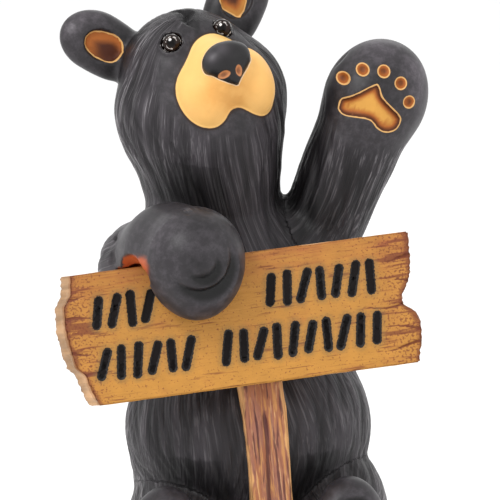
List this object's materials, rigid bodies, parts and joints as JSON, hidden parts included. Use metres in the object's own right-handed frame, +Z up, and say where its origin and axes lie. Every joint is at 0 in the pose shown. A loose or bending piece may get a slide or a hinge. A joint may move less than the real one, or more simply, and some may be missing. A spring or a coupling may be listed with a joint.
{
  "type": "bear figurine",
  "caption": "Seated carved-style bear statuette that waves one raised paw and holds a rustic plank sign on a stake in front of its belly, on a low oval base.",
  "frame": {"origin": "centre of the base's underside", "axes": "+Z up, and the bear faces -Y, so its raised paw is towards +X"},
  "size_m": [0.1241, 0.1217, 0.2093],
  "materials": {
    "coat_paint": "satin black painted resin, dry-brushed grey on the carving",
    "eye_gloss": "clear gloss over dark brown",
    "board_paint": "painted resin in the look of worn golden planks",
    "stake_paint": "painted resin in the look of red-brown wood",
    "base_paint": "dark brown painted resin"
  },
  "bodies": {
    "root": {"bear": "coat_paint", "eye_left": "eye_gloss", "eye_right": "eye_gloss", "sign_board": "board_paint", "sign_post": "stake_paint", "base": "base_paint"}
  },
  "joints": []
}
